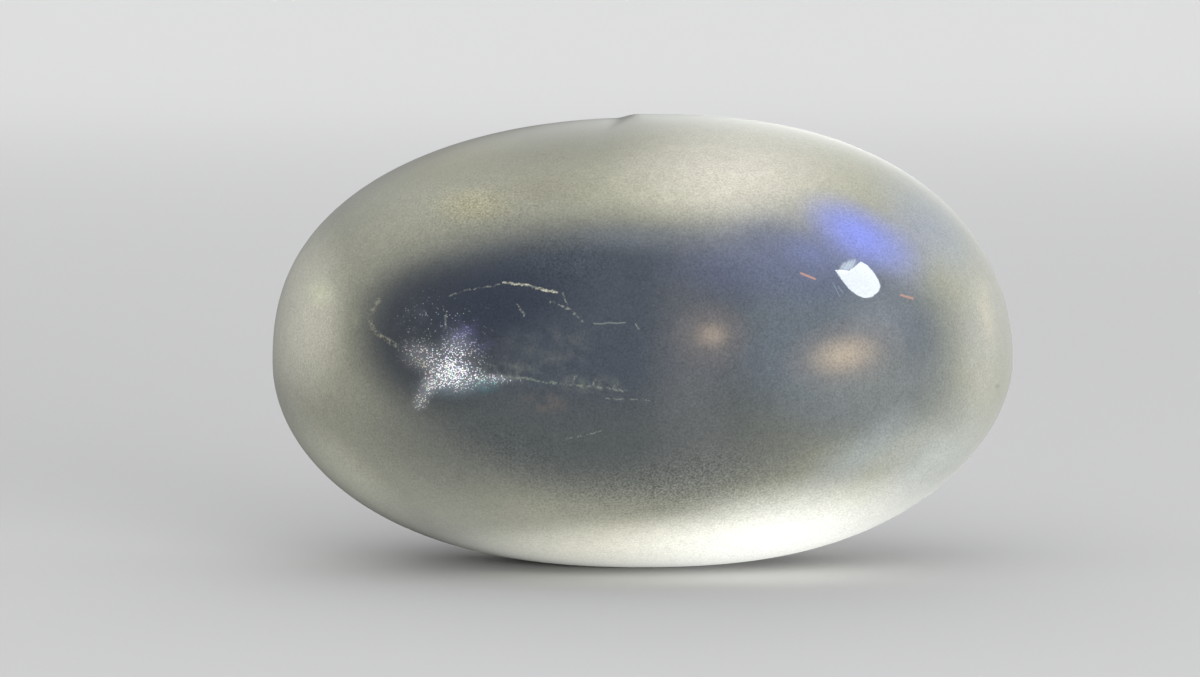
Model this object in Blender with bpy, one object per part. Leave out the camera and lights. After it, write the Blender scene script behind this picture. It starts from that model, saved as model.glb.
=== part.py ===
"""A polished oval moonstone that lies on a small flat spot of its belly.

Metres, +Z up. The origin is on the surface that the stone rests on, under its middle.
+X runs along the stone, and the front that shows the dark heart looks along -Y.
"""

import math

import bmesh
import bpy
import numpy as np

# The stone's box, before the flat spot is ground off the belly
HALF_LENGTH = 0.00820
HALF_WIDTH = 0.00600
CROWN_LEFT = 0.00542
CROWN_RIGHT = 0.00550
BELLY = 0.00449
FLAT_SPOT_CUT = 0.000025

# How full each curve is: 2 is an ellipse, and more is fuller
PLAN_FULLNESS = 2.15
CROWN_INWARD = (2.10, 2.44)
CROWN_UPWARD = (2.41, 2.14)
BELLY_INWARD = (2.46, 2.49)
BELLY_DOWNWARD = (1.94, 1.73)
SIDE_BLEND = 0.25

# The low ledge across the top of the crown: it starts sharply at its foot and rounds off above
LEDGE_FOOT_X = -0.00045
LEDGE_LENGTH = 0.00035
LEDGE_SPREAD = 0.0040

# The mesh: 5 gives triangles about 0.45 mm across
SPHERE_SUBDIVISIONS = 5
SOLVER_STEPS = 40
SHORTEST_EDGE = 0.00002
SHARP_ANGLE = math.radians(30)

STONE_COLOUR = (0.50, 0.52, 0.49, 1.0)
STONE_ROUGHNESS = 0.12


def clear_scene():
    for old in list(bpy.data.objects):
        bpy.data.objects.remove(old, do_unlink=True)


def new_collection(name):
    collection = bpy.data.collections.new(name)
    bpy.context.scene.collection.children.link(collection)
    return collection


def stone_material():
    material = bpy.data.materials.new("moonstone")
    material.use_nodes = True
    shader = material.node_tree.nodes["Principled BSDF"]
    shader.inputs["Base Color"].default_value = STONE_COLOUR
    shader.inputs["Roughness"].default_value = STONE_ROUGHNESS
    shader.inputs["Metallic"].default_value = 0.0
    shader.inputs["Subsurface Weight"].default_value = 0.3
    shader.inputs["Subsurface Scale"].default_value = HALF_WIDTH / 4
    return material


def smooth_share(value, start, end):
    """0 before start, 1 after end, and an S curve between them."""
    share = np.clip((value - start) / (end - start), 0, 1)
    return share * share * (3 - 2 * share)


def mix(pair, share):
    return pair[0] + (pair[1] - pair[0]) * share


def crown_height(x, y):
    """The crown steps up at the ledge, which spreads out and fades away from the crest."""
    spread = LEDGE_SPREAD * (y / HALF_WIDTH) ** 2
    climb = np.clip((x - LEDGE_FOOT_X + spread) / (LEDGE_LENGTH + 2 * spread), 0, 1)
    return mix((CROWN_LEFT, CROWN_RIGHT), climb * (2 - climb))


def fullness(x, y, z):
    """1 on the stone's surface, less inside it and more outside."""
    right = smooth_share(x / HALF_LENGTH, -SIDE_BLEND, SIDE_BLEND)
    plan = np.abs(x / HALF_LENGTH) ** PLAN_FULLNESS + np.abs(y / HALF_WIDTH) ** PLAN_FULLNESS
    inward = plan ** (1 / PLAN_FULLNESS)
    crown = inward ** mix(CROWN_INWARD, right)
    crown += np.abs(z / crown_height(x, y)) ** mix(CROWN_UPWARD, right)
    belly = inward ** mix(BELLY_INWARD, right)
    belly += np.abs(z / BELLY) ** mix(BELLY_DOWNWARD, right)
    return np.where(z > 0, crown, belly)


def on_surface(directions):
    """Where each direction from the middle of the girdle meets the surface."""
    stretch = np.array([HALF_LENGTH, HALF_WIDTH, CROWN_RIGHT])
    rays = directions * stretch
    rays[:, 2] = np.where(rays[:, 2] > 0, rays[:, 2], rays[:, 2] * BELLY / CROWN_RIGHT)
    inside = np.full(len(rays), 0.5)
    outside = np.full(len(rays), 2.0)
    for _ in range(SOLVER_STEPS):
        middle = (inside + outside) / 2
        is_out = fullness(*(rays * middle[:, None]).T) > 1
        outside = np.where(is_out, middle, outside)
        inside = np.where(is_out, inside, middle)
    return rays * inside[:, None]


def shape_sphere(form):
    """Gives a unit sphere the stone's form, with the girdle still at z = 0."""
    directions = np.array([vertex.co for vertex in form.verts], dtype=np.float64)
    for vertex, point in zip(form.verts, on_surface(directions)):
        vertex.co = point


def grind_flat_spot(form):
    """Cuts the belly off level, closes the cut, and stands the stone on it."""
    level = FLAT_SPOT_CUT - BELLY
    cut = bmesh.ops.bisect_plane(
        form,
        geom=form.verts[:] + form.edges[:] + form.faces[:],
        plane_co=(0, 0, level),
        plane_no=(0, 0, 1),
        clear_inner=True,
    )
    rim = [item for item in cut["geom_cut"] if isinstance(item, bmesh.types.BMEdge)]
    bmesh.ops.edgeloop_fill(form, edges=rim)
    bmesh.ops.dissolve_degenerate(form, edges=form.edges[:], dist=SHORTEST_EDGE)
    bmesh.ops.translate(form, verts=form.verts[:], vec=(0, 0, -level))


def make_moonstone(collection):
    form = bmesh.new()
    bmesh.ops.create_icosphere(form, subdivisions=SPHERE_SUBDIVISIONS, radius=1)
    shape_sphere(form)
    grind_flat_spot(form)
    bmesh.ops.recalc_face_normals(form, faces=form.faces[:])
    mesh = bpy.data.meshes.new("moonstone")
    form.to_mesh(mesh)
    form.free()
    mesh.materials.append(stone_material())
    mesh.shade_smooth()
    mesh.set_sharp_from_angle(angle=SHARP_ANGLE)
    stone = bpy.data.objects.new("moonstone", mesh)
    collection.objects.link(stone)
    return stone


def main():
    clear_scene()
    make_moonstone(new_collection("moonstone"))


main()
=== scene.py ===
"""The looks of a polished oval moonstone: its surface, its zones of colour, the stage and the lights.

The stone's own sizes are in millimetres, in the frame's axes: +X right, +Y away from the front, +Z up.
Places read off the photograph are pixels of its 1200 x 677 frame, which the camera turns into places
on the stone.
"""

import math

import bmesh
import bpy
import numpy as np
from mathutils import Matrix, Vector


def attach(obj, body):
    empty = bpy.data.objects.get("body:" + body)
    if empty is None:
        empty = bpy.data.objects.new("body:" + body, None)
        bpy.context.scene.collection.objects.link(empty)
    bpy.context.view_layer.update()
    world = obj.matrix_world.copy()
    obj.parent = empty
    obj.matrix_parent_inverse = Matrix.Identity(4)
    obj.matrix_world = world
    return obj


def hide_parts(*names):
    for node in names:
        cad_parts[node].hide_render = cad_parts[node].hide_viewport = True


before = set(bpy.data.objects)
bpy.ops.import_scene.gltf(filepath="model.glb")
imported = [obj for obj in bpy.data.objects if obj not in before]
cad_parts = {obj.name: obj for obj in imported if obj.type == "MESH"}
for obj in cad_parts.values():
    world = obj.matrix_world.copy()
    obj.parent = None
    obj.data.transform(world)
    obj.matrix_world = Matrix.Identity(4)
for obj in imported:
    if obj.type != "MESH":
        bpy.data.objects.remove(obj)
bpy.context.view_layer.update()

MM = 0.001

# The stone's form, as in the frame
HALF_LENGTH = 8.20
HALF_WIDTH = 6.00
CROWN_LEFT = 5.42
CROWN_RIGHT = 5.50
BELLY = 4.49
FLAT_SPOT_CUT = 0.025
GIRDLE_Z = BELLY - FLAT_SPOT_CUT
PLAN_FULLNESS = 2.15
CROWN_INWARD = (2.10, 2.44)
CROWN_UPWARD = (2.41, 2.14)
BELLY_INWARD = (2.46, 2.49)
BELLY_DOWNWARD = (1.94, 1.73)
SIDE_BLEND = 0.25
LEDGE_FOOT_X = -0.45
LEDGE_LENGTH = 0.35
LEDGE_SPREAD = 4.0

# The fine surface: 7 gives triangles about 0.12 mm across
SPHERE_SUBDIVISIONS = 7
SOLVER_STEPS = 40
GUESS_SHARES = (0.5, 2.0)
SLOPE_STEP = 0.01
SHORTEST_EDGE = 0.00001
SHARP_ANGLE = math.radians(30)

# The camera and the photograph's frame
PHOTO_SIZE = (1200, 677)
PHOTO_STONE_CENTRE = (642.6, 339.0)
PHOTO_STONE_LENGTH = 739.5
MM_PER_PIXEL = 2 * HALF_LENGTH / PHOTO_STONE_LENGTH
LENS_MM = 200.0
SENSOR_MM = 36.0
CLIP_SHARES = (0.1, 20)
CAMERA_ELEVATION = math.radians(4)
CAMERA_LOOKS = Vector((0, math.cos(CAMERA_ELEVATION), -math.sin(CAMERA_ELEVATION)))
CAMERA_UP = Vector((0, math.sin(CAMERA_ELEVATION), math.cos(CAMERA_ELEVATION)))
CAMERA_DISTANCE = PHOTO_SIZE[0] * MM_PER_PIXEL * LENS_MM / SENSOR_MM
STONE_MIDDLE = Vector((0, 0, (CROWN_RIGHT + GIRDLE_Z) / 2))


def smooth_share(value, start, end):
    """0 before start, 1 after end, and an S curve between them."""
    share = np.clip((value - start) / (end - start), 0, 1)
    return share * share * (3 - 2 * share)


def mix(pair, share):
    return pair[0] + (pair[1] - pair[0]) * share


def crown_height(x, y):
    """The crown steps up at the ledge, which spreads out and fades away from the crest."""
    spread = LEDGE_SPREAD * (y / HALF_WIDTH) ** 2
    climb = np.clip((x - LEDGE_FOOT_X + spread) / (LEDGE_LENGTH + 2 * spread), 0, 1)
    return mix((CROWN_LEFT, CROWN_RIGHT), climb * (2 - climb))


def fullness(x, y, z):
    """1 on the stone's surface, less inside it and more outside, with z counted from the girdle."""
    right = smooth_share(x / HALF_LENGTH, -SIDE_BLEND, SIDE_BLEND)
    plan = np.abs(x / HALF_LENGTH) ** PLAN_FULLNESS + np.abs(y / HALF_WIDTH) ** PLAN_FULLNESS
    inward = plan ** (1 / PLAN_FULLNESS)
    crown = inward ** mix(CROWN_INWARD, right)
    crown += np.abs(z / crown_height(x, y)) ** mix(CROWN_UPWARD, right)
    belly = inward ** mix(BELLY_INWARD, right)
    belly += np.abs(z / BELLY) ** mix(BELLY_DOWNWARD, right)
    return np.where(z > 0, crown, belly)


def on_surface(directions):
    """Where each direction from the middle of the girdle meets the surface."""
    rays = directions * np.array([HALF_LENGTH, HALF_WIDTH, CROWN_RIGHT])
    rays[:, 2] = np.where(rays[:, 2] > 0, rays[:, 2], rays[:, 2] * BELLY / CROWN_RIGHT)
    inside = np.full(len(rays), GUESS_SHARES[0])
    outside = np.full(len(rays), GUESS_SHARES[1])
    for _ in range(SOLVER_STEPS):
        middle = (inside + outside) / 2
        is_out = fullness(*(rays * middle[:, None]).T) > 1
        outside = np.where(is_out, middle, outside)
        inside = np.where(is_out, inside, middle)
    return rays * inside[:, None]


def camera_place():
    """The camera's place, in mm, which puts the stone as far off the centre as in the photograph."""
    aside = (PHOTO_STONE_CENTRE[0] - PHOTO_SIZE[0] / 2) * MM_PER_PIXEL
    above = (PHOTO_STONE_CENTRE[1] - PHOTO_SIZE[1] / 2) * MM_PER_PIXEL
    target = STONE_MIDDLE + Vector((-aside, 0, 0)) + CAMERA_UP * above
    return target - CAMERA_LOOKS * CAMERA_DISTANCE


def pixel_ray(pixel):
    """The direction in which the camera sees a pixel of the photograph."""
    right = (pixel[0] - PHOTO_SIZE[0] / 2) * MM_PER_PIXEL
    rise = (PHOTO_SIZE[1] / 2 - pixel[1]) * MM_PER_PIXEL
    return (CAMERA_LOOKS * CAMERA_DISTANCE + Vector((right, 0, 0)) + CAMERA_UP * rise).normalized()


def on_stone(pixel):
    """The point of the stone's front that the camera sees at a pixel, in mm."""
    eye = camera_place()
    ray = pixel_ray(pixel)
    near = CAMERA_DISTANCE - 2 * HALF_WIDTH
    far = CAMERA_DISTANCE
    for _ in range(SOLVER_STEPS):
        middle = (near + far) / 2
        point = eye + ray * middle
        if fullness(point.x, point.y, point.z - GIRDLE_Z) > 1:
            near = middle
        else:
            far = middle
    return eye + ray * far


def normal_at(point):
    """The surface's outward direction at a point of it."""
    slope = []
    for axis in range(3):
        ends = []
        for side in (-SLOPE_STEP, SLOPE_STEP):
            moved = Vector(point)
            moved[axis] += side
            ends.append(float(fullness(moved.x, moved.y, moved.z - GIRDLE_Z)))
        slope.append(ends[1] - ends[0])
    return Vector(slope).normalized()


def object_from(form, name, material):
    """Turns a form into an object of the scene, with one material."""
    mesh = bpy.data.meshes.new(name)
    form.to_mesh(mesh)
    form.free()
    mesh.materials.append(material)
    made = bpy.data.objects.new(name, mesh)
    bpy.context.scene.collection.objects.link(made)
    return made


def make_stone(material):
    """The stone's fine surface, which stands for the frame's plainer solid."""
    form = bmesh.new()
    bmesh.ops.create_icosphere(form, subdivisions=SPHERE_SUBDIVISIONS, radius=1)
    directions = np.array([vertex.co for vertex in form.verts], dtype=np.float64)
    for vertex, point in zip(form.verts, on_surface(directions)):
        vertex.co = point * MM
    level = -GIRDLE_Z * MM
    cut = bmesh.ops.bisect_plane(
        form,
        geom=form.verts[:] + form.edges[:] + form.faces[:],
        plane_co=(0, 0, level),
        plane_no=(0, 0, 1),
        clear_inner=True,
    )
    rim = [item for item in cut["geom_cut"] if isinstance(item, bmesh.types.BMEdge)]
    bmesh.ops.edgeloop_fill(form, edges=rim)
    bmesh.ops.dissolve_degenerate(form, edges=form.edges[:], dist=SHORTEST_EDGE)
    bmesh.ops.translate(form, verts=form.verts[:], vec=(0, 0, -level))
    bmesh.ops.recalc_face_normals(form, faces=form.faces[:])
    stone = object_from(form, "moonstone_surface", material)
    stone.data.shade_smooth()
    stone.data.set_sharp_from_angle(angle=SHARP_ANGLE)
    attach(stone, "root")
    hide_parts("moonstone")


def make_camera():
    camera = bpy.data.objects.new("camera", bpy.data.cameras.new("camera"))
    camera.data.lens = LENS_MM
    camera.data.sensor_width = SENSOR_MM
    camera.data.clip_start = CAMERA_DISTANCE * MM * CLIP_SHARES[0]
    camera.data.clip_end = CAMERA_DISTANCE * MM * CLIP_SHARES[1]
    camera.location = camera_place() * MM
    camera.rotation_euler = CAMERA_LOOKS.to_track_quat("-Z", "Y").to_euler()
    bpy.context.scene.collection.objects.link(camera)
    bpy.context.scene.camera = camera


# The stage, in metres: a pale floor that curves up into a wall all round, well away from the stone
FLOOR_RADIUS = 0.30
WALL_CURVE = 0.16
WALL_HEIGHT = 0.18
CURVE_STEPS = 16
TURN_STEPS = 96
WELD_DISTANCE = 1e-6
STAGE_COLOUR = (0.51, 0.51, 0.51)
STAGE_ROUGHNESS = 0.6


def stage_material():
    material = bpy.data.materials.new("stage")
    material.use_nodes = True
    shader = material.node_tree.nodes["Principled BSDF"]
    shader.inputs["Base Color"].default_value = (*STAGE_COLOUR, 1)
    shader.inputs["Roughness"].default_value = STAGE_ROUGHNESS
    shader.inputs["Specular IOR Level"].default_value = 0.0
    return material


def make_stage():
    """Turns the profile of half a stage, from its middle outward, once round."""
    profile = [(0.0, 0.0), (FLOOR_RADIUS, 0.0)]
    for step in range(1, CURVE_STEPS + 1):
        angle = math.radians(90) * step / CURVE_STEPS
        profile.append((FLOOR_RADIUS + WALL_CURVE * math.sin(angle), WALL_CURVE * (1 - math.cos(angle))))
    profile.append((FLOOR_RADIUS + WALL_CURVE, WALL_HEIGHT))
    form = bmesh.new()
    points = [form.verts.new((radius, 0, height)) for radius, height in profile]
    edges = [form.edges.new(pair) for pair in zip(points, points[1:])]
    bmesh.ops.spin(
        form,
        geom=points + edges,
        axis=(0, 0, 1),
        steps=TURN_STEPS,
        angle=math.tau,
        use_merge=True,
    )
    bmesh.ops.remove_doubles(form, verts=form.verts[:], dist=WELD_DISTANCE)
    bmesh.ops.recalc_face_normals(form, faces=form.faces[:])
    stage = object_from(form, "stage", stage_material())
    stage.data.shade_smooth()
    stage.visible_glossy = False


# The lamps, in metres: (name, place, size, watts). They all aim at the stone's middle
SOFTBOXES = (
    ("front_softbox", (0, -0.34, 0.16), (0.34, 0.20), 0.35),
    ("low_softbox", (0.12, -0.215, 0.02), (0.16, 0.036), 1.2),
    ("back_softbox", (0, 0.34, 0.16), (0.34, 0.20), 0.35),
)
SOFTBOX_AIM = (0, 0, 0.005)
SKY_COLOUR = (0.98, 0.985, 1.0, 1)
SKY_STRENGTH = 0.95


def make_softbox(name, place, size, watts):
    lamp = bpy.data.lights.new(name, "AREA")
    lamp.shape = "RECTANGLE"
    lamp.size = size[0]
    lamp.size_y = size[1]
    lamp.energy = watts
    softbox = bpy.data.objects.new(name, lamp)
    softbox.location = place
    aim = Vector(SOFTBOX_AIM) - Vector(place)
    softbox.rotation_euler = aim.to_track_quat("-Z", "Y").to_euler()
    softbox.visible_camera = False
    softbox.visible_glossy = False
    bpy.context.scene.collection.objects.link(softbox)


# The window lamp that the polish mirrors as a petal-shaped highlight: its outline in the photograph
HIGHLIGHT_OUTLINE = (
    (835, 270), (842, 269.5), (849, 271), (855, 266.5), (861, 261.5), (867, 265), (873, 271.5),
    (878, 279), (880.5, 286), (879, 291), (872, 297), (864, 298), (857, 295), (849, 289), (841, 279),
)
HIGHLIGHT_MIDDLE = (858, 280)
WINDOW_DISTANCE = 250.0
WINDOW_COLOUR = (0.93, 0.98, 1.0, 1)
WINDOW_GLOW = 17.5


def mirrored(pixel):
    """The point where the camera's ray at a pixel meets the stone, and where the polish sends it."""
    point = on_stone(pixel)
    return point, pixel_ray(pixel).reflect(normal_at(point))


def window_material():
    material = bpy.data.materials.new("window")
    material.use_nodes = True
    material.node_tree.nodes.clear()
    emission = material.node_tree.nodes.new("ShaderNodeEmission")
    emission.inputs["Color"].default_value = WINDOW_COLOUR
    emission.inputs["Strength"].default_value = WINDOW_GLOW
    output = material.node_tree.nodes.new("ShaderNodeOutputMaterial")
    material.node_tree.links.new(emission.outputs[0], output.inputs["Surface"])
    return material


def make_window():
    """A lamp pane that shows only in the polish, placed so that it is mirrored into its outline."""
    middle, aim = mirrored(HIGHLIGHT_MIDDLE)
    pane = middle + aim * WINDOW_DISTANCE
    form = bmesh.new()
    corners = []
    for pixel in HIGHLIGHT_OUTLINE:
        point, way = mirrored(pixel)
        corner = point + way * ((pane - point).dot(aim) / way.dot(aim))
        corners.append(form.verts.new(corner * MM))
    form.faces.new(corners)
    window = object_from(form, "window", window_material())
    window.visible_camera = False
    window.visible_diffuse = False
    window.visible_transmission = False
    window.visible_shadow = False


def make_lights():
    for softbox in SOFTBOXES:
        make_softbox(*softbox)
    make_window()
    world = bpy.data.worlds.new("studio")
    world.use_nodes = True
    background = world.node_tree.nodes["Background"]
    background.inputs["Color"].default_value = SKY_COLOUR
    background.inputs["Strength"].default_value = SKY_STRENGTH
    bpy.context.scene.world = world
    world.cycles_visibility.glossy = False
    bpy.context.scene.view_settings.view_transform = "Standard"


def srgb(red, green, blue):
    """A display colour, 0 to 255, as the linear colour that Blender's sockets take."""
    shares = [value / 255 for value in (red, green, blue)]
    return tuple(v / 12.92 if v <= 0.04045 else ((v + 0.055) / 1.055) ** 2.4 for v in shares)


def face_on(point):
    """Where a point shows from the front: across, and up."""
    return Vector((point.x, point.z, 0))


class Graph:
    """Shorthand for making and joining one material's nodes."""

    def __init__(self, tree):
        self.tree = tree

    def add(self, kind, inputs, **settings):
        node = self.tree.nodes.new("ShaderNode" + kind)
        for name, value in settings.items():
            setattr(node, name, value)
        for key, value in inputs.items():
            if isinstance(value, bpy.types.NodeSocket):
                self.tree.links.new(value, node.inputs[key])
            else:
                node.inputs[key].default_value = value
        return node

    def math(self, operation, *values):
        return self.add("Math", dict(enumerate(values)), operation=operation).outputs[0]

    def vector(self, operation, *values):
        node = self.add("VectorMath", dict(enumerate(values)), operation=operation)
        gives_number = operation in ("LENGTH", "DISTANCE", "DOT_PRODUCT")
        return node.outputs["Value" if gives_number else "Vector"]

    def scaled(self, vector, scale):
        return self.add("VectorMath", {0: vector, "Scale": scale}, operation="SCALE").outputs[0]

    def share(self, value, start, end, most=1.0):
        """0 before start, most after end, and an S curve between. It falls where start is the larger."""
        inputs = {"Value": value, "From Min": start, "From Max": end, "To Max": most}
        return self.add("MapRange", inputs, interpolation_type="SMOOTHSTEP").outputs[0]

    def blend(self, share, start, end):
        """From the colour start to the colour end."""
        inputs = {0: share}
        for index, colour in ((6, start), (7, end)):
            inputs[index] = colour if isinstance(colour, bpy.types.NodeSocket) else (*colour, 1)
        return self.add("Mix", inputs, data_type="RGBA").outputs[2]

    def noise(self, place, grain, detail, dimensions="3D"):
        """Cloudy noise whose lumps are about grain mm across."""
        inputs = {"Vector": place, "Scale": 1 / grain, "Detail": detail}
        return self.add("TexNoise", inputs, noise_dimensions=dimensions).outputs

    def ellipse(self, face, middle, radii, tilt):
        """Distance from an ellipse's middle, counted in its radii, with the tilt anticlockwise."""
        turn = math.radians(tilt)
        centre = face_on(on_stone(middle))
        along = Vector((math.cos(turn), math.sin(turn), 0)) / (radii[0] * MM_PER_PIXEL)
        across = Vector((-math.sin(turn), math.cos(turn), 0)) / (radii[1] * MM_PER_PIXEL)
        if tilt == 0:
            scale = along + across
            return self.vector("LENGTH", self.vector("MULTIPLY_ADD", face, scale, -centre * scale))
        offset = self.vector("SUBTRACT", face, centre)
        u = self.vector("DOT_PRODUCT", offset, along)
        v = self.vector("DOT_PRODUCT", offset, across)
        return self.math("SQRT", self.math("MULTIPLY_ADD", u, u, self.math("MULTIPLY", v, v)))

    def line(self, face, start, end):
        """Distance from a straight line between two points, in mm."""
        way = end - start
        offset = self.vector("SUBTRACT", face, start)
        passed = self.vector("DOT_PRODUCT", offset, way / way.length_squared)
        nearest = self.scaled(way, self.add("Clamp", {0: passed}).outputs[0])
        return self.vector("DISTANCE", offset, nearest)

    def paths(self, face, routes):
        """Distance from the nearest of several lines, each through some pixels of the photograph."""
        nearest = None
        for pixels in routes:
            points = [face_on(on_stone(pixel)) for pixel in pixels]
            for pair in zip(points, points[1:]):
                distance = self.line(face, *pair)
                nearest = distance if nearest is None else self.math("MINIMUM", nearest, distance)
        return nearest


# The stone's zones, painted one over another: (middle, radii, tilt, clear edge, colour, strength).
# Middles and radii are in pixels of the photograph, and tilts in degrees, anticlockwise. The clear edge
# is where the zone starts to fade, as a share of its radii. Body zones run through from front to back;
# they hold the stone's own tones with painted light and shade over them.
MILKY = srgb(122, 122, 107)
BODY_AND_PAINTED_LIGHT_ZONES = (
    # The milky rim, partly painted light and shade
    # Painted shade along the top of the crown
    ((560, 118), (300, 64), 8, 0.0, srgb(60, 58, 34), 1.0),
    # Painted light: the rim glowing bright at the left and lower left
    ((284, 302), (80, 134), 0, 0.2, srgb(181, 179, 164), 1.0),
    ((344, 490), (160, 54), -46, 0.1, srgb(184, 184, 164), 0.9),
    ((452, 150), (112, 36), 18, 0.0, srgb(108, 103, 68), 0.55),
    ((544, 188), (80, 26), 4, 0.0, srgb(96, 94, 80), 0.5),
    # A painted glow: a yellow patch at the upper left
    ((472, 206), (52, 24), 0, 0.0, srgb(133, 128, 98), 0.6),
    # Painted light: the bright upper right of the rim
    ((735, 172), (150, 70), 0, 0.0, srgb(155, 152, 141), 1.0),
    # Painted light over the shade at the foot of the ledge
    ((631, 116), (14, 5), 22, 0.0, srgb(140, 138, 122), 0.5),
    ((935, 225), (100, 46), -44, 0.0, srgb(110, 116, 124), 0.9),
    # Painted shade at the lower left
    ((428, 464), (125, 50), -28, 0.2, srgb(96, 98, 88), 0.8),
    ((987, 325), (46, 100), 0, 0.1, srgb(128, 128, 121), 0.9),
    # A painted reflection: a cream streak down the right rim
    ((986, 312), (14, 48), 8, 0.0, srgb(148, 144, 128), 0.6),
    ((935, 465), (110, 66), 50, 0.1, srgb(140, 144, 141), 0.9),
    ((950, 414), (42, 50), 0, 0.0, srgb(104, 106, 100), 0.6),
    # The heart's soft edge in painted shade, and the bright rim under it in painted light
    ((650, 376), (325, 166), -1, 0.55, srgb(80, 82, 76), 1.0),
    ((615, 560), (268, 57), 4, 0.2, srgb(206, 204, 188), 1.0),
    ((764, 563), (250, 105), 12, 0.1, srgb(252, 252, 246), 1.0),
    # The heart, painted shade: the dark that the clear stone shows through it, painted into its colour
    ((588, 394), (268, 126), 0, 0.4, srgb(54, 58, 59), 1.0),
    ((590, 313), (272, 121), -2, 0.42, srgb(46, 51, 58), 1.0),
    ((850, 338), (152, 116), -4, 0.38, srgb(65, 71, 77), 1.0),
    ((878, 392), (112, 72), 0, 0.1, srgb(80, 84, 84), 1.0),
    ((860, 458), (90, 34), 32, 0.0, srgb(126, 138, 148), 0.28),
    ((918, 452), (36, 20), 40, 0.0, srgb(104, 108, 104), 0.4),
    ((892, 424), (34, 24), 40, 0.0, srgb(120, 124, 124), 0.2),
    ((694, 378), (66, 190), 0, 0.0, srgb(80, 80, 80), 0.4),
    ((430, 335), (102, 92), 0, 0.35, srgb(34, 38, 44), 1.0),
    ((485, 300), (130, 60), 8, 0.2, srgb(28, 34, 45), 0.9),
)
PAINTED_SHEEN_AND_GLOW_ZONES = (
    # Painted sheen: the haze of the blue sheen, and the sheen, which light raises in the stone
    ((630, 236), (90, 22), 0, 0.0, srgb(78, 84, 96), 0.3),
    ((796, 250), (170, 68), 0, 0.0, srgb(61, 68, 95), 0.75),
    ((814, 252), (50, 24), -20, 0.0, srgb(80, 88, 122), 0.4),
    ((762, 234), (46, 26), 0, 0.0, srgb(62, 68, 84), 0.4),
    ((904, 250), (40, 52), 20, 0.0, srgb(98, 104, 130), 0.5),
    ((880, 318), (60, 46), 0, 0.0, srgb(90, 94, 98), 0.5),
    ((859, 234), (76, 34), -30, 0.0, srgb(93, 102, 160), 1.0),
    # Two warm glows: painted lamplight glowing inside the stone
    ((712, 335), (50, 40), 0, 0.0, srgb(80, 76, 75), 0.8),
    ((712, 335), (22, 17), 0, 0.0, srgb(104, 96, 88), 0.8),
    ((845, 355), (76, 44), 8, 0.0, srgb(94, 90, 87), 0.8),
    ((845, 355), (44, 24), 8, 0.0, srgb(123, 114, 102), 0.8),
    # Pale spots: a painted glow at the left rim, a pale patch under the cluster of specks, and the
    # highlight's painted haze beside it
    ((318, 293), (24, 20), 0, 0.0, srgb(184, 186, 160), 0.7),
    ((353, 318), (10, 14), 0, 0.0, srgb(110, 112, 96), 0.6),
    ((450, 387), (46, 16), 0, 0.0, srgb(74, 84, 90), 0.8),
    ((848, 266), (13, 7), 30, 0.1, srgb(128, 138, 148), 0.8),
)
SMOKE_ZONES = (
    ((566, 350), (34, 40), 0, 0.0, srgb(68, 70, 70), 0.5),
    ((530, 352), (50, 34), 0, 0.0, srgb(58, 62, 63), 0.5),
    ((546, 404), (40, 16), 0, 0.0, srgb(74, 66, 62), 0.5),
    ((462, 330), (26, 18), 0, 0.0, srgb(54, 54, 84), 0.6),
    ((480, 345), (26, 16), 0, 0.0, srgb(50, 50, 72), 0.6),
    ((505, 372), (40, 12), 0, 0.0, srgb(80, 86, 80), 0.9),
    ((590, 384), (44, 12), 0, 0.0, srgb(80, 84, 78), 0.5),
    ((412, 316), (34, 24), 0, 0.0, srgb(48, 54, 60), 0.5),
    ((482, 388), (26, 9), 0, 0.0, srgb(54, 84, 90), 0.4),
)

# The grain, in mm, and how strongly it lightens and darkens the colour
GRAIN_SIZE = 0.045
GRAIN_STRENGTH = 0.8
MOTTLE_SIZE = 0.25
MOTTLE_STRENGTH = 0.23

# Where the grain stands out more: (middle, radii, tilt, how much more)
GRAINY_ZONES = (
    ((670, 484), (165, 46), 6, 1.9),
    ((520, 455), (90, 40), -20, 0.9),
    ((476, 207), (80, 34), 0, 1.0),
    ((560, 262), (70, 34), 0, 1.2),
)

# The clouds that shake the veins from side to side, in mm
CLOUD_SIZE = 0.11
VEIN_SHAKE = 0.08

# The noise levels between which marks go from broken off to whole
SMOKE_BREAKS = (0.35, 0.7)
VEIN_GRAIN_BREAKS = (0.25, 0.65)
VEIN_CLOUD_BREAKS = (0.3, 0.6)

# Lines inside the front: (the pixels that each passes, half their width in pixels, colour, strength)
VEINS = (
    # The bright stretch of the upper vein
    (
        (
            ((503.5, 282.5), (529.5, 285.5), (542.5, 289.5), (557.5, 292)),
        ), 1.8, srgb(172, 168, 148), 1.0,
    ),
    # The fainter parts of the upper vein, and short cracks
    (
        (
            ((467, 290.2), (469.5, 289.6)),
            ((490, 286.5), (499.5, 284.5)),
            ((563, 293), (564.5, 298), (567, 304)),
            ((551, 301.5), (571, 309.5), (582.5, 321.5)),
            ((517.5, 304.5), (524.5, 315.5)),
            ((636, 324), (639.5, 329.5)),
        ), 1.5, srgb(104, 106, 100), 0.9,
    ),
    # The lower vein with its barbs
    (
        (
            ((486, 376), (526, 378), (544, 382), (596, 387), (626, 391)),
            ((572, 384), (576, 376)),
            ((592, 387), (596.5, 378.5)),
            ((611, 389), (620, 381.5)),
            ((445, 311), (446, 328)),
        ), 1.9, srgb(90, 96, 89), 0.9,
    ),
    # The hook at the left
    (
        (
            ((379, 300), (369, 316), (374, 331), (396, 345)),
        ), 3.4, srgb(112, 112, 98), 0.9,
    ),
    # The faintest lines
    (
        (
            ((450, 295), (468, 290), (490, 286.5)),
            ((607, 398.5), (649, 400)),
            ((566, 439), (601, 431)),
            ((437, 472), (455, 464)),
        ), 1.3, srgb(98, 100, 94), 0.7,
    ),
)
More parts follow.
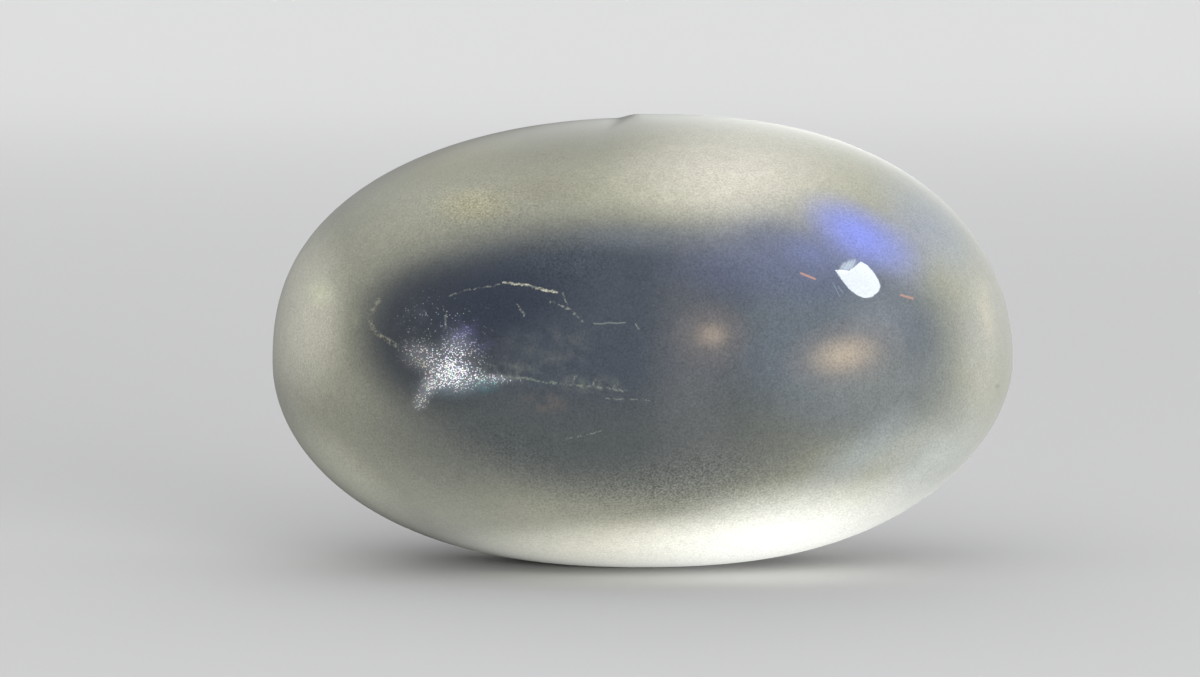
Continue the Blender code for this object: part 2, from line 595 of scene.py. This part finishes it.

# Lines that stay whole, in the same form: the stone's own marks, and painted glints and reflections
STREAKS_AND_PAINTED_GLINTS = (
    # The core of the upper vein, and the crack to its right
    (
        (
            ((503.5, 282.5), (529.5, 285.5), (542.5, 289.5), (557.5, 292)),
            ((594, 323.6), (601, 323.9), (609, 322.6), (617, 323.3), (625, 322.5)),
        ), 1.2, srgb(92, 95, 93), 0.7,
    ),
    # Painted reflections: orange streaks of lamplight to both sides of the highlight
    (
        (
            ((801, 273.2), (815, 279)),
            ((901, 295), (913, 298.5)),
        ), 1.7, srgb(140, 106, 94), 0.8,
    ),
    # Scratches left of the highlight, lightened with the painted glint of the window lamp
    (
        (
            ((833, 283), (840, 297)),
            ((838, 286), (843, 293)),
        ), 0.8, srgb(96, 106, 118), 0.7,
    ),
    # Scratches above the highlight, painted bright as glints of the window lamp
    (
        (
            ((841, 268), (845, 263)),
            ((845, 269), (849, 262)),
            ((848, 270), (852, 261)),
            ((851, 269), (855, 260)),
        ), 1.4, srgb(132, 142, 152), 0.6,
    ),
    # A dark spot in the right rim
    (
        (
            ((997, 386), (998.5, 386.5)),
        ), 3.0, srgb(92, 90, 80), 0.7,
    ),
)

# The bright cluster of specks, and the loose ones by it: (middle, radii, tilt, share that shines)
CLUSTER = (
    ((449, 365), (51, 36), 0, 0.6),
    ((450, 373), (38, 15), 0, 0.5),
    ((414, 353), (28, 24), 0, 0.4),
    ((490, 380), (28, 12), 0, 0.5),
    ((458, 339), (25, 22), 0, 0.35),
    ((431, 384), (18, 12), 0, 0.4),
    ((422, 398), (25, 14), 56, 0.7),
    ((458, 385), (38, 12), 0, 0.35),
    ((470, 350), (90, 50), 0, 0.08),
    ((510, 379), (40, 7), -4, 0.24),
)
LOOSE_SPECKS = ((444, 328), (84, 54), -8, 0.13)

# The specks' size in mm, where in its cell each fades out and is full, and how unlike they are
SPECK_SIZE = 0.031
SPECK_EDGE = (0.6, 0.2)
SPECK_CONTRAST = 0.7
SPECK_TINT = 0.2
LOOSE_CONTRAST = 0.12
LOOSE_STRENGTH = 0.22
SPECK_PAINT = srgb(240, 242, 244)
SPECK_ZONES = (
    ((412, 378), (34, 60), 0, 0.2, srgb(168, 160, 134), 0.9),
    ((489, 386), (30, 12), 0, 0.2, srgb(84, 178, 178), 0.8),
    ((458, 334), (32, 20), 0, 0.2, srgb(132, 136, 200), 0.8),
)
CLUSTER_HAZE = srgb(104, 106, 112)
HAZE_FULL_AT = 1.2
HAZE_STRENGTH = 0.9

# How far the front's own zones reach past the stone's middle, in mm, as they fade out
FRONT_FADE = 0.6

# The stone's surface: a soft milky body under a clear polish
SURFACE = {
    "Roughness": 0.5,
    "Specular IOR Level": 0.0,
    "Sheen Weight": 0.4,
    "Sheen Roughness": 0.5,
    "Sheen Tint": (0.95, 0.97, 0.93, 1),
    "Coat Weight": 1.0,
    "Coat Roughness": 0.03,
    "Coat IOR": 1.52,
}


def paint_zones(graph, face, colour, zones, reach=None):
    """Lays each zone's colour over the colour so far."""
    for middle, radii, tilt, clear_edge, zone_colour, strength in zones:
        share = graph.share(graph.ellipse(face, middle, radii, tilt), 1.0, clear_edge, strength)
        if reach is not None:
            share = graph.math("MULTIPLY", share, reach)
        colour = graph.blend(share, colour, zone_colour)
    return colour


def paint_lines(graph, face, colour, lines, reach):
    """Draws thin lines that soften to both sides."""
    for routes, half_width, line_colour, strength in lines:
        distance = graph.paths(face, routes)
        share = graph.share(distance, half_width * MM_PER_PIXEL, 0.0, strength)
        colour = graph.blend(graph.math("MULTIPLY", share, reach), colour, line_colour)
    return colour


def lobe(graph, face, middle, radii, tilt, most):
    """A soft ellipse: most at its middle, and 0 at its edge."""
    return graph.share(graph.ellipse(face, middle, radii, tilt), 1.0, 0.0, most)


def paint_cluster(graph, face, colour, reach):
    """Scatters specks, each with its own brightness and tint, as thickly as the cluster's lobes say."""
    density = 0.0
    for zone in CLUSTER:
        density = graph.math("ADD", density, lobe(graph, face, *zone))
    density = graph.math("MULTIPLY", density, reach)
    haze = graph.share(density, 0.0, HAZE_FULL_AT, HAZE_STRENGTH)
    colour = graph.blend(haze, colour, CLUSTER_HAZE)
    cells = graph.add("TexVoronoi", {"Vector": face, "Scale": 1 / SPECK_SIZE}, voronoi_dimensions="2D")
    chance = graph.add("SeparateColor", {0: cells.outputs["Color"]}).outputs
    shine = graph.math("SUBTRACT", graph.math("ADD", chance["Red"], density), 1.0)
    bright = graph.share(shine, 0.0, SPECK_CONTRAST)
    loose = graph.math("MULTIPLY_ADD", lobe(graph, face, *LOOSE_SPECKS), reach, chance["Blue"])
    faint = graph.share(graph.math("SUBTRACT", loose, 1.0), 0.0, LOOSE_CONTRAST, LOOSE_STRENGTH)
    dot = graph.share(cells.outputs["Distance"], *SPECK_EDGE)
    share = graph.math("MULTIPLY", graph.math("MAXIMUM", bright, faint), dot)
    tint = graph.add("CombineColor", {0: chance["Green"], 1: SPECK_TINT, 2: 1.0}, mode="HSV").outputs[0]
    paint = paint_zones(graph, face, SPECK_PAINT, SPECK_ZONES)
    tinted = graph.add("Mix", {0: 1.0, 6: tint, 7: paint}, data_type="RGBA", blend_type="MULTIPLY")
    return graph.blend(share, colour, tinted.outputs[2])


def add_grain(graph, face, colour, fine, mottle):
    """The fine grain of the crystal's layers: tiny light and dark points, under soft clouds."""
    contrast = 1.0
    for zone in GRAINY_ZONES:
        contrast = graph.math("ADD", contrast, lobe(graph, face, *zone))
    points = graph.math("MULTIPLY_ADD", fine, GRAIN_STRENGTH, -GRAIN_STRENGTH / 2)
    points = graph.math("MULTIPLY", points, contrast)
    clouds = graph.math("MULTIPLY_ADD", mottle, MOTTLE_STRENGTH, -MOTTLE_STRENGTH / 2)
    return graph.scaled(colour, graph.math("ADD", graph.math("ADD", points, clouds), 1.0))


def stone_material():
    """Milky at the rim and dark at heart, with inclusions near the front, under a clear polish; the dark
    heart, bright rim, glows, sheen and glints are painted light and shade.
    """
    material = bpy.data.materials.new("moonstone")
    material.use_nodes = True
    graph = Graph(material.node_tree)
    shader = material.node_tree.nodes["Principled BSDF"]
    here = graph.add("TexCoord", {}).outputs["Object"]
    place = graph.scaled(here, 1 / MM)
    axes = graph.add("SeparateXYZ", {0: place}).outputs
    face = graph.add("CombineXYZ", {"X": axes["X"], "Y": axes["Z"]}).outputs[0]
    front = graph.share(axes["Y"], FRONT_FADE, -FRONT_FADE)
    fine = graph.noise(place, GRAIN_SIZE, 1.0)["Fac"]
    mottle = graph.noise(place, MOTTLE_SIZE, 2.0)["Fac"]
    cloud = graph.noise(face, CLOUD_SIZE, 2.0, "2D")
    colour = paint_zones(graph, face, MILKY, BODY_AND_PAINTED_LIGHT_ZONES)
    colour = paint_zones(graph, face, colour, PAINTED_SHEEN_AND_GLOW_ZONES, front)
    smoky = graph.math("MULTIPLY", front, graph.share(mottle, *SMOKE_BREAKS))
    colour = paint_zones(graph, face, colour, SMOKE_ZONES, smoky)
    colour = add_grain(graph, face, colour, fine, mottle)
    shake = graph.vector("SUBTRACT", cloud["Color"], (0.5, 0.5, 0.5))
    shaken = graph.vector("MULTIPLY_ADD", shake, (VEIN_SHAKE, VEIN_SHAKE, 0), face)
    whole = graph.share(cloud["Fac"], *VEIN_CLOUD_BREAKS)
    whole = graph.math("MULTIPLY", graph.share(fine, *VEIN_GRAIN_BREAKS), whole)
    colour = paint_lines(graph, shaken, colour, VEINS, graph.math("MULTIPLY", front, whole))
    colour = paint_lines(graph, face, colour, STREAKS_AND_PAINTED_GLINTS, front)
    colour = paint_cluster(graph, face, colour, front)
    graph.tree.links.new(colour, shader.inputs["Base Color"])
    for socket, value in SURFACE.items():
        shader.inputs[socket].default_value = value
    return material


make_camera()
make_stage()
make_lights()
make_stone(stone_material())
